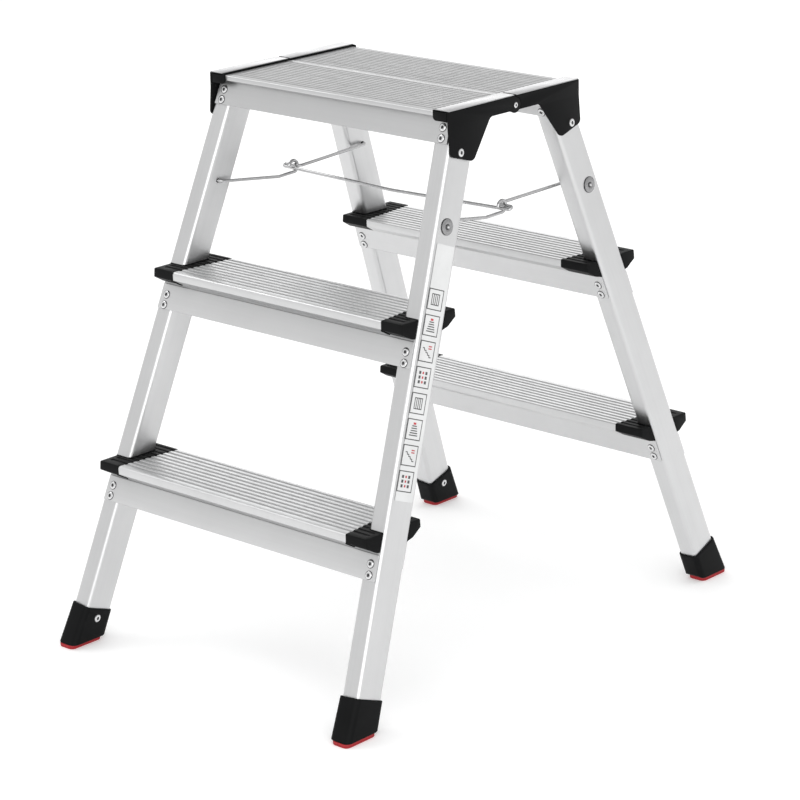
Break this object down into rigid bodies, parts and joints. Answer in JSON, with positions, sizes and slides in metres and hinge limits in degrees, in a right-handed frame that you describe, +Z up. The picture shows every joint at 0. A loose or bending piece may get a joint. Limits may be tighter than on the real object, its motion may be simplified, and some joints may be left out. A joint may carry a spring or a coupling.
{
  "type": "step ladder",
  "caption": "Double-sided folding step ladder of aluminium with ribbed treads, a hinged platform, black plastic end caps and shoes, and wire stays between the legs.",
  "frame": {"origin": "on the floor, midway between the four feet", "axes": "+X to the right along the treads, +Y from the front half to the rear half, +Z up"},
  "size_m": [0.4702, 0.7022, 0.66],
  "materials": {
    "frame_aluminium": "satin mill finish with fine extrusion lines",
    "bright_edge": "bright satin",
    "black_plastic": "fine-textured moulding",
    "sole_rubber": "matte dark red",
    "rivet_steel": "bright plated",
    "washer_steel": "grey zinc plated",
    "wire_steel": "bright zinc plated wire",
    "label_film": "pale satin film with plain printed boxes"
  },
  "bodies": {
    "front_frame": {"front_platform_half": "frame_aluminium", "front_lower_tread": "frame_aluminium", "front_upper_tread": "frame_aluminium", "front_right_leg": "frame_aluminium", "front_right_hinge_bracket": "black_plastic", "front_right_lower_tread_cap": "black_plastic", "front_right_upper_tread_cap": "black_plastic", "front_right_platform_edge_strip": "bright_edge", "front_right_bracket_rivet": "rivet_steel", "front_right_shoe": "black_plastic", "front_right_shoe_rivet": "rivet_steel", "front_right_sole": "sole_rubber", "front_right_stay_washer": "washer_steel", "front_left_leg": "frame_aluminium", "front_left_hinge_bracket": "black_plastic", "front_left_lower_tread_cap": "black_plastic", "front_left_upper_tread_cap": "black_plastic", "front_left_platform_edge_strip": "bright_edge", "front_left_bracket_rivet": "rivet_steel", "front_left_shoe": "black_plastic", "front_left_shoe_rivet": "rivet_steel", "front_left_sole": "sole_rubber", "front_left_stay_washer": "washer_steel", "hinge_pin_right": "rivet_steel", "hinge_pin_left": "rivet_steel", "pictogram_label": "label_film"},
    "rear_frame": {"rear_platform_half": "frame_aluminium", "rear_lower_tread": "frame_aluminium", "rear_upper_tread": "frame_aluminium", "rear_right_leg": "frame_aluminium", "rear_right_hinge_bracket": "black_plastic", "rear_right_lower_tread_cap": "black_plastic", "rear_right_upper_tread_cap": "black_plastic", "rear_right_platform_edge_strip": "bright_edge", "rear_right_bracket_rivet": "rivet_steel", "rear_right_shoe": "black_plastic", "rear_right_shoe_rivet": "rivet_steel", "rear_right_sole": "sole_rubber", "rear_right_stay_washer": "washer_steel", "rear_left_leg": "frame_aluminium", "rear_left_hinge_bracket": "black_plastic", "rear_left_lower_tread_cap": "black_plastic", "rear_left_upper_tread_cap": "black_plastic", "rear_left_platform_edge_strip": "bright_edge", "rear_left_bracket_rivet": "rivet_steel", "rear_left_shoe": "black_plastic", "rear_left_shoe_rivet": "rivet_steel", "rear_left_sole": "sole_rubber", "rear_left_stay_washer": "washer_steel"},
    "rear_bail": {"rear_stay_bail": "wire_steel"},
    "right_hook": {"front_stay_hook_right": "wire_steel"},
    "left_hook": {"front_stay_hook_left": "wire_steel"}
  },
  "joints": [
    {"name": "fold", "type": "hinge", "parent": "front_frame", "child": "rear_frame", "pos_m": [0, 0, 0.648], "axis": [-1, 0, 0], "range_deg": [0, 49]},
    {"name": "bail_swing", "type": "hinge", "parent": "rear_frame", "child": "rear_bail", "pos_m": [0, 0.1255, 0.534], "axis": [-1, 0, 0], "range_deg": [0, 36]},
    {"name": "right_hook_swing", "type": "hinge", "parent": "front_frame", "child": "right_hook", "pos_m": [0.1595, -0.1255, 0.534], "axis": [1, 0, 0], "range_deg": [0, 36]},
    {"name": "left_hook_swing", "type": "hinge", "parent": "front_frame", "child": "left_hook", "pos_m": [-0.1595, -0.1255, 0.534], "axis": [1, 0, 0], "range_deg": [0, 36]}
  ],
  "couplings": [
    {"joint": "bail_swing", "follows": "fold", "ratio": 0.73097},
    {"joint": "right_hook_swing", "follows": "fold", "ratio": 0.73097},
    {"joint": "left_hook_swing", "follows": "fold", "ratio": 0.73097}
  ]
}
